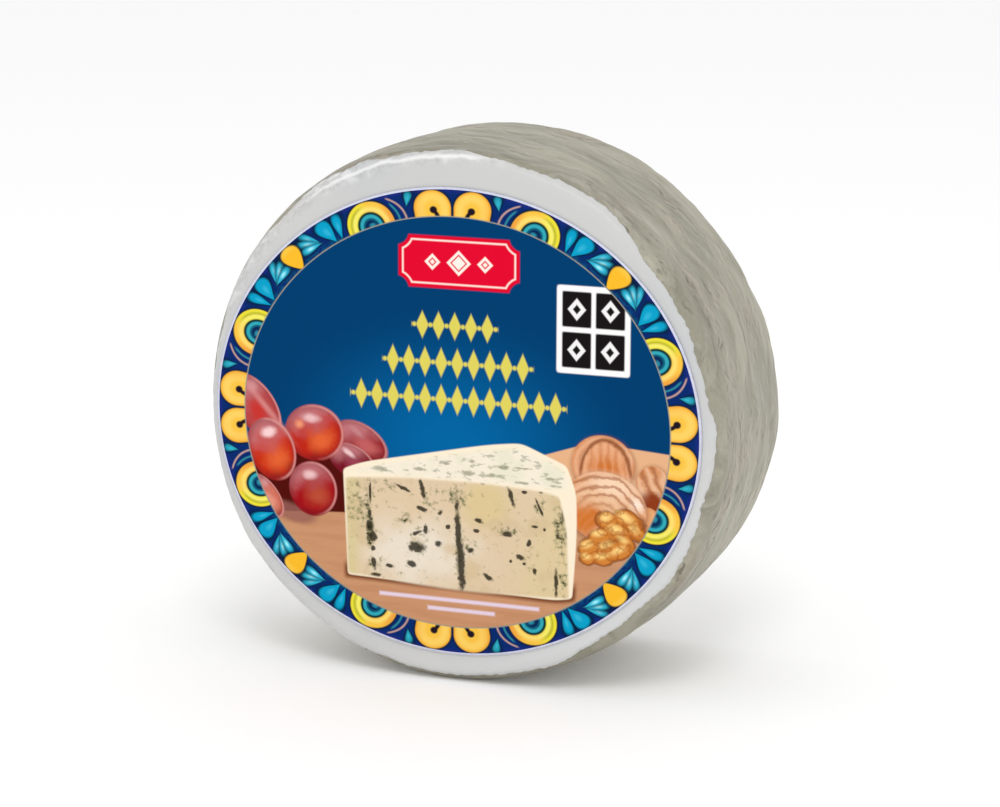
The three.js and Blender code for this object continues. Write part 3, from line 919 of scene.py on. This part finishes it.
def draw_walnuts(drawing, label):
    """Walnuts: a nut seen along its seam, a furrowed one, two behind it, and kernels in lumps."""
    finish = drawing.finish
    waver = finish.noise(drawing.spot, (0.14, 0.14, 1), 3, 0.6)
    lumps = finish.noise(drawing.spot, (0.22, 0.22, 1), 2, 0.5)
    shadow, seam = linear(118, 50, 20), linear(140, 78, 44)
    pale, orange = linear(244, 208, 176), linear(206, 116, 48)

    def shell(x, y, half_width, half_height, turn, colour):
        drawing.blob(shadow, x + 0.3, y - 0.6, half_width + 0.3, half_height + 0.4, turn, 1.6, 0.7)
        out = drawing.oval(x, y, half_width, half_height, turn)
        mask = drawing.inside(out, half_height)
        drawing.paint(colour, mask)
        drawing.paint(orange, finish.ramp(out + waver, 1.05, 1.5) * mask * 0.5)
        return out, mask

    def furrowed(phase, low, mask):
        """Dark furrows and pale crests beside them, where a sine of the phase is high and low."""
        wave = phase.math("SINE")
        drawing.paint(linear(164, 100, 66), finish.ramp(wave, low, 1) * mask)
        drawing.paint(pale, finish.ramp(wave, -low, -1) * mask * 0.6)

    out, mask = shell(56, -11, 11.6, 10.6, -4, linear(230, 176, 138))
    inner = drawing.oval(57, -15.5, 9.4, 13.4)
    core = drawing.inside(inner, 10) * mask
    drawing.paint(linear(226, 160, 116), core)
    drawing.paint(orange, finish.ramp(drawing.oval(57, -13.5, 8.5, 8), 1.1, 0.2) * core)
    furrowed(drawing.across * 1.9 + waver * 9, 0.3, core * 0.28)
    line = abs(inner + (waver - 0.5) * 0.25 - 1) * 10
    drawing.paint(seam, drawing.filled(0.6 - line, 0.6) * mask * finish.ramp(drawing.up, -18, -13) * 0.9)
    furrowed(out * 22 + waver * 8, 0.3, mask * finish.ramp(inner, 1.02, 1.1) * 0.4)

    out, mask = shell(75, -18.8, 6.6, 8.8, 8, linear(216, 158, 116))
    furrowed(drawing.across * 1.3 + drawing.up * 0.5 + waver * 8, 0.1, mask * 0.7)
    hollow = drawing.inside(drawing.oval(73, -24.5, 6, 4.6) + (waver - 0.5), 5, 2)
    drawing.paint(linear(138, 58, 26), hollow * mask)
    shell(72.6, -29.8, 5.6, 4.6, -20, linear(228, 166, 116))

    out, mask = shell(57, -26.6, 15.4, 12.8, -12, label.shell)
    drawing.glow(pale, 60, -18.5, 15, 6.5, -14, 1.2)
    drawing.paint(orange, finish.ramp(drawing.oval(50, -31.5, 12, 9) + waver, 1.5, 0.7) * mask)
    drawing.glow(linear(252, 232, 214), 69, -24.5, 3.4, 5, 40)
    upper = finish.ramp(drawing.up + drawing.across * 0.2, -19, -10)
    furrowed(drawing.oval(56, -40, 21, 26) * 50 + waver * 9, 0.1, mask * (upper * 0.6 + 0.08))

    kernels = (
        (51, -41.8, 4, 3, 20), (50.6, -46, 3.2, 2.4, -10), (56.6, -45.4, 4.2, 2.5, 12),
        (63, -42.8, 5.2, 2.5, 28), (55.2, -37.2, 4, 2.6, 10), (68.6, -34.6, 3.6, 3, -40),
        (62, -35.4, 5, 3.4, -10), (65.6, -30.6, 6, 3.4, -28), (58, -31.4, 4, 3.4, 20),
        (58.4, -41.2, 4.6, 2.7, 24), (64.4, -38.6, 3.6, 2.4, -24),
    )
    nearest = drawing.nearest(kernels) + (waver - 0.5) * 1.1
    drawing.paint(linear(104, 44, 14), finish.ramp(nearest, 1.35, 1.0) * 0.85)
    mask = finish.ramp(nearest, 1.08, 0.96)
    drawing.paint(linear(206, 128, 54), mask)
    drawing.paint(linear(150, 76, 26), finish.ramp(nearest, 0.7, 1.0) * mask * 0.7)
    for x, y, half_width, half_height, turn in kernels:
        x, y = x - 0.2 * half_width, y + 0.35 * half_height
        drawing.glow(linear(252, 212, 130), x, y, half_width, 0.8 * half_height, turn)
    drawing.paint(linear(156, 80, 28), finish.ramp(abs(lumps - 0.47), 0.08, 0) * mask * 0.55)
    drawing.blob(linear(112, 48, 18), 60.4, -38.6, 2.6, 0.7, 20, 1.2, 0.7)


def draw_wedge(drawing, label):
    """The cut cheese: a pale top, a front face with blue veins and holes, and a bright right edge."""
    finish = drawing.finish
    veins, green = linear(36, 34, 22), linear(148, 142, 104)
    ragged = finish.noise(drawing.spot, (0.4, 0.4, 1), 4, 0.6)
    cloud = finish.noise(drawing.spot, (0.07, 0.07, 1), 2)
    whole = drawing.polygon([
        (-43.6, -21), (-37, -18), (16, -6.6), (25.5, -5.8), (42.5, -12.6), (46.2, -22),
        (46.8, -36), (45, -61.5), (39, -63), (-12, -62), (-42, -61.2),
    ])
    drawing.paint(linear(116, 62, 34), drawing.filled(whole + 1.2, 1.1) * finish.ramp(drawing.up, -54, -59))
    drawing.paint(linear(246, 232, 206), drawing.filled(whole))
    top = finish.mix(linear(240, 230, 210), linear(224, 222, 196), finish.ramp(cloud, 0.48, 0.6) * 0.6)
    on_top = drawing.filled(whole - 1.8, 1) * finish.ramp(drawing.up, -22.5, -20)
    drawing.paint(top, on_top)
    specks = finish.noise(drawing.spot, (0.24, 0.56, 1), 3, 0.55)
    drawing.paint(linear(142, 144, 124), on_top * finish.ramp(specks, 0.54, 0.66) * 0.6)
    spots = drawing.nearest((
        (-17.5, -13.5, 1.2, 0.7), (-7.4, -13.3, 1, 0.6), (-3.5, -15.6, 1.6, 0.5), (6.4, -14, 1.2, 0.5),
        (18.6, -15.2, 1.8, 0.7), (14.2, -18.6, 2.2, 0.6), (4.4, -18.4, 2.4, 0.8), (-13.8, -18.6, 1.6, 0.5),
        (-29, -19.6, 2.4, 0.7), (26.4, -20.4, 2.6, 0.5), (36.6, -18, 2, 0.5), (38, -20.6, 2, 0.5),
        (26, -15, 3, 0.35),
    ))
    drawing.paint(linear(130, 130, 106), on_top * finish.ramp(spots + (ragged - 0.5) * 3.4, 1.6, 0.4) * 0.7)

    face = drawing.polygon([
        (-43, -24), (-28, -22.2), (3, -21.2), (34, -22.4), (40, -24),
        (43, -36), (44, -62), (3, -63.5), (-42.2, -60.6),
    ])
    inside = drawing.filled(face - 0.4, 0.8)
    drawing.paint(label.cheese, inside)
    chalky = drawing.inside(drawing.oval(-15, -50, 18, 10) + (cloud - 0.5) * 2, 9, 7)
    drawing.paint(linear(230, 218, 200), inside * chalky)
    buttery = drawing.inside(drawing.oval(12, -30, 9, 8) + (cloud - 0.5), 8, 4)
    drawing.paint(linear(216, 194, 142), inside * buttery * 0.85)
    at_right = finish.ramp(drawing.across - drawing.up * 0.3, 33, 52)
    drawing.paint(linear(216, 196, 148), inside * at_right * 0.7)
    drawing.paint(linear(212, 196, 146), inside * finish.ramp(drawing.across, -35, -40) * 0.8)
    drawing.paint(linear(204, 180, 140), inside * finish.ramp(cloud, 0.54, 0.66) * 0.5)
    where = 0
    for x, y, half_width, half_height, strength in (
        (-36.5, -33, 7.5, 13, 0.9), (-31, -57, 5, 6, 0.7), (-28, -26, 9, 4, 0.7), (-33, -43, 2.6, 9, 1.25),
        (1, -27, 6, 6.5, 0.95), (-8, -29, 6, 6, 0.7), (-19.5, -37.5, 4.5, 3, 0.9), (5.6, -46, 4.5, 5, 0.9),
        (40.8, -36, 4.2, 14, 1.15), (41.8, -54, 3, 9, 0.9), (20, -38.5, 7, 3, 0.8), (32.5, -29, 3, 5, 0.7),
        (1.8, -47, 3.4, 17, 0.7), (29, -48, 6, 6, 0.55), (-13, -45, 6, 7, 0.6),
    ):
        near = finish.ramp(drawing.oval(x, y, half_width, half_height), 1.15, 0.3) * strength
        where = near.math("MAXIMUM", where)
    dense = ragged + where * 0.18
    drawing.paint(green, inside * finish.ramp(dense, 0.58, 0.76) * 0.8)
    drawing.paint(veins, inside * finish.ramp(dense, 0.71, 0.83) * 0.9)
    holes = drawing.nearest((
        (1.4, -42, 0.9, 10.5, 3), (2.4, -53, 1.2, 9, 3), (-12.5, -25.9, 0.7, 3.2, 14),
        (21.5, -25.2, 0.65, 3.2, 19), (32.6, -29.4, 0.4, 2.6, 25), (38.9, -56.6, 0.6, 4.2),
        (44.4, -51.2, 0.45, 2.4, -5), (-20, -26.3, 2.6, 0.5, -24),
        (-33.3, -41.6, 1.2, 1.8), (-32.2, -45.6, 1.3, 1.6), (-33.3, -37, 0.6, 1.6), (-33, -29, 0.4, 3.2),
        (-32, -50, 0.7, 0.8), (-31.8, -55.6, 0.8, 1.7, 12), (-31, -60, 1.5, 0.6), (-14.7, -48, 2.7, 1.7, -8),
        (-12.8, -33.4, 1.5, 0.7, -12), (-11.2, -41, 0.7, 1.3), (-14.8, -42.6, 1.6, 0.5, 25),
        (-6.3, -46, 1.1, 1.1), (-16.9, -54.6, 1.7, 0.9, -20), (-2.5, -39.3, 0.7, 0.7),
        (-5.6, -34.2, 0.6, 1, -30), (9.2, -35.8, 1.3, 0.7, -10),
        (8.3, -39.8, 1, 0.5), (20, -39.8, 1.7, 0.9, 10), (28.5, -42.4, 0.7, 0.9), (25.5, -48, 1.3, 0.7, -18),
        (26.7, -50.3, 0.6, 0.5), (30.7, -52.6, 0.6, 1, 20), (13, -56.8, 1.7, 0.8, -30),
        (10.7, -21.6, 0.9, 0.5),
        (26.6, -23.7, 0.7, 0.5), (33, -23.2, 0.6, 0.4), (30.9, -36.2, 0.9, 0.5), (-25.4, -56.1, 1, 0.6),
        (6.1, -47.2, 1, 0.7), (34.4, -36.8, 0.5, 0.5), (21.5, -49.9, 0.5, 0.5), (41.6, -31, 0.7, 1.8),
        (43, -38, 0.7, 1.2),
    ))
    drawing.paint(veins, finish.ramp(holes + (ragged - 0.5) * 3, 1.65, 0.75) * inside * 0.92)


def draw_plaque(drawing, label):
    """A red plaque with hollowed corners, a thin pale line inside and a row of three diamonds."""
    pale = linear(255, 236, 226)
    middle_x, middle_y = 1.5, 58
    run, rise = abs(drawing.across - middle_x), abs(drawing.up - middle_y)
    box = (23 - run).math("MINIMUM", 9.5 - rise)
    hollow_run, hollow_rise = run - 24, rise - 10.5
    hollow = (hollow_run * hollow_run + hollow_rise * hollow_rise).math("SQRT") - 5
    depth = box.math("MINIMUM", hollow)
    drawing.paint(label.red, drawing.filled(depth))
    drawing.paint(pale, drawing.filled(0.28 - abs(depth - 1.7)))
    for x, size in ((-10, 3), (0, 4.6), (10, 3)):
        diamond = size - abs(drawing.across - (middle_x + x)) - rise
        drawing.paint(pale, drawing.filled(diamond) * drawing.filled(abs(diamond - 1.7) - 0.35))


def draw_bands(drawing):
    """Three gold bands of slender lozenges with dots between, and two thin pale lines on the board."""
    pace = 6.2
    lozenge_half_width = 2.4
    bands = ((0, 35, 16.5, 5), (1, 21.5, 28.9, 5.4), (1, 8, 41.5, 5.4))
    for middle_x, middle_y, half_width, half_height in bands:
        from_middle = (drawing.across - middle_x) / pace
        beat = abs(from_middle - from_middle.math("ROUND")) * pace
        rise = abs(drawing.up - middle_y)
        within = drawing.filled(half_width - abs(drawing.across - middle_x))
        lozenge = lozenge_half_width - beat - rise * (lozenge_half_width / half_height)
        dot_run = pace / 2 - beat
        dots = 0.8 - (dot_run * dot_run + rise * rise).math("SQRT")
        drawing.paint(linear(218, 206, 92), drawing.filled(lozenge.math("MAXIMUM", dots), 0.4) * within)

    for middle_x, middle_y, half_width in ((1.5, -66.8, 31), (2.5, -70.4, 13)):
        run, rise = abs(drawing.across - middle_x), abs(drawing.up - middle_y)
        strip = (half_width - run).math("MINIMUM", 0.7 - rise)
        drawing.paint(linear(226, 206, 222), drawing.filled(strip, 0.5))


def draw_panel(drawing):
    """A pale upright panel with four dark tiles, each with a pale diamond."""
    dark = linear(24, 20, 22)
    middle_x, middle_y = 52, 37
    run, rise = abs(drawing.across - middle_x), abs(drawing.up - middle_y)
    card = (13.6 - run).math("SMOOTH_MIN", 15.8 - rise, 2)
    drawing.paint(linear(246, 244, 244), drawing.filled(card))
    tile_run, tile_rise = abs(run - 6.2), abs(rise - 7.3)
    tile = (5.4 - tile_run).math("SMOOTH_MIN", 6.4 - tile_rise, 1)
    drawing.paint(dark, drawing.filled(tile))
    drawing.paint(linear(238, 236, 236), drawing.filled(3.4 - tile_run - tile_rise * 0.85))
    drawing.paint(dark, drawing.filled(1.5 - tile_run - tile_rise * 0.85))


class BuildFoil(bpy.types.Operator):
    """Builds the foil-wrapped body of the wheel"""

    bl_idname = "cheese.build_foil"
    bl_label = "Build foil"

    def execute(self, context):
        foil = context.scene.cheese_foil
        settle(foil_mesh(foil), "wheel", "foil", foil_finish(foil))
        return {"FINISHED"}


class BuildSheet(bpy.types.Operator):
    """Builds the pale sheet over the front face"""

    bl_idname = "cheese.build_sheet"
    bl_label = "Build sheet"

    def execute(self, context):
        sheet = context.scene.cheese_sheet
        settle(sheet_mesh(sheet), "face_sheet", "sheet", sheet_finish(sheet))
        return {"FINISHED"}


class BuildLabel(bpy.types.Operator):
    """Builds the label with its print"""

    bl_idname = "cheese.build_label"
    bl_label = "Build label"

    def execute(self, context):
        label = context.scene.cheese_label
        settle(label_mesh(), "label", "label", picture_finish(label), ring_finish(label), paper_finish(label))
        return {"FINISHED"}


class BuildStage(bpy.types.Operator):
    """Builds the floor, the soft light and the camera"""

    bl_idname = "cheese.build_stage"
    bl_label = "Build stage"

    def execute(self, context):
        stage = context.scene.cheese_stage
        build_floor(stage)
        build_light()
        build_camera(stage)
        return {"FINISHED"}


def build_floor(stage, half_side=8.0):
    """A level square of floor."""
    mesh = bpy.data.meshes.new("floor")
    corners = [(half_side * x, half_side * y, 0) for x, y in ((-1, -1), (1, -1), (1, 1), (-1, 1))]
    mesh.from_pydata(corners, [], [(0, 1, 2, 3)])
    floor = bpy.data.objects.new("floor", mesh)
    bpy.context.scene.collection.objects.link(floor)
    glow = {"Emission_Color": WHITE, "Emission_Strength": 0.05}
    finish = Finish("floor", Roughness=0.9, Specular_IOR_Level=0.1, **glow)
    finish.colour(stage.floor)
    mesh.materials.append(finish.material)


def build_light():
    """A white sky and one soft lamp, high in front to the right."""
    world = bpy.data.worlds.new("sky")
    world.use_nodes = True
    sky = world.node_tree.nodes["Background"].inputs
    sky["Color"].default_value = WHITE
    sky["Strength"].default_value = 0.9
    bpy.context.scene.world = world
    bpy.context.scene.view_settings.view_transform = "Standard"
    lamp = bpy.data.lights.new("lamp", "AREA")
    lamp.size = 0.8
    lamp.energy = 12
    holder = bpy.data.objects.new("lamp", lamp)
    holder.location = (0.5, -1.3, 2)
    towards_wheel = Vector((AXIS_X, 0, AXIS_Z)) * MM - holder.location
    holder.rotation_euler = towards_wheel.to_track_quat("-Z", "Y").to_euler()
    bpy.context.scene.collection.objects.link(holder)


def build_camera(stage):
    """A camera aimed along its azimuth and elevation at the middle of the face, shifted to frame it."""
    focal_pixels = 3033
    image_width = 1000
    face_left_of_middle, face_below_middle = 45.3, 18.6
    camera = bpy.data.cameras.new("camera")
    camera.sensor_width = 36
    camera.lens = camera.sensor_width * focal_pixels / image_width
    camera.shift_x = face_left_of_middle / image_width
    camera.shift_y = face_below_middle / image_width
    camera.clip_end = 50
    azimuth, elevation = stage.azimuth, stage.elevation
    level = math.cos(elevation)
    back = Vector((math.sin(azimuth) * level, -math.cos(azimuth) * level, math.sin(elevation)))
    holder = bpy.data.objects.new("camera", camera)
    holder.location = Vector((AXIS_X, LABEL_FACE_Y, AXIS_Z)) * MM + back * stage.distance
    holder.rotation_euler = back.to_track_quat("Z", "Y").to_euler()
    bpy.context.scene.collection.objects.link(holder)
    bpy.context.scene.camera = holder


class CheesePanel(bpy.types.Panel):
    """The wheel's settings and build buttons"""

    bl_idname = "VIEW3D_PT_cheese"
    bl_label = "Cheese wheel"
    bl_space_type = "VIEW_3D"
    bl_region_type = "UI"
    bl_category = "Cheese"

    def draw(self, context):
        for operator in OPERATORS:
            self.layout.operator(operator.bl_idname)
        for name in SETTINGS:
            settings = getattr(context.scene, name)
            for key in settings.__annotations__:
                self.layout.prop(settings, key)


OPERATORS = (BuildFoil, BuildSheet, BuildLabel, BuildStage)
SETTINGS = {
    "cheese_foil": FoilSettings,
    "cheese_sheet": SheetSettings,
    "cheese_label": LabelSettings,
    "cheese_stage": StageSettings,
}
CLASSES = (*SETTINGS.values(), *OPERATORS, CheesePanel)


def register():
    for cls in CLASSES:
        bpy.utils.register_class(cls)
    for name, group in SETTINGS.items():
        setattr(bpy.types.Scene, name, bpy.props.PointerProperty(type=group))


def unregister():
    for name in SETTINGS:
        delattr(bpy.types.Scene, name)
    for cls in reversed(CLASSES):
        bpy.utils.unregister_class(cls)


def main():
    register()
    bpy.ops.cheese.build_foil()
    bpy.ops.cheese.build_sheet()
    bpy.ops.cheese.build_label()
    bpy.ops.cheese.build_stage()


if __name__ == "__main__":
    main()
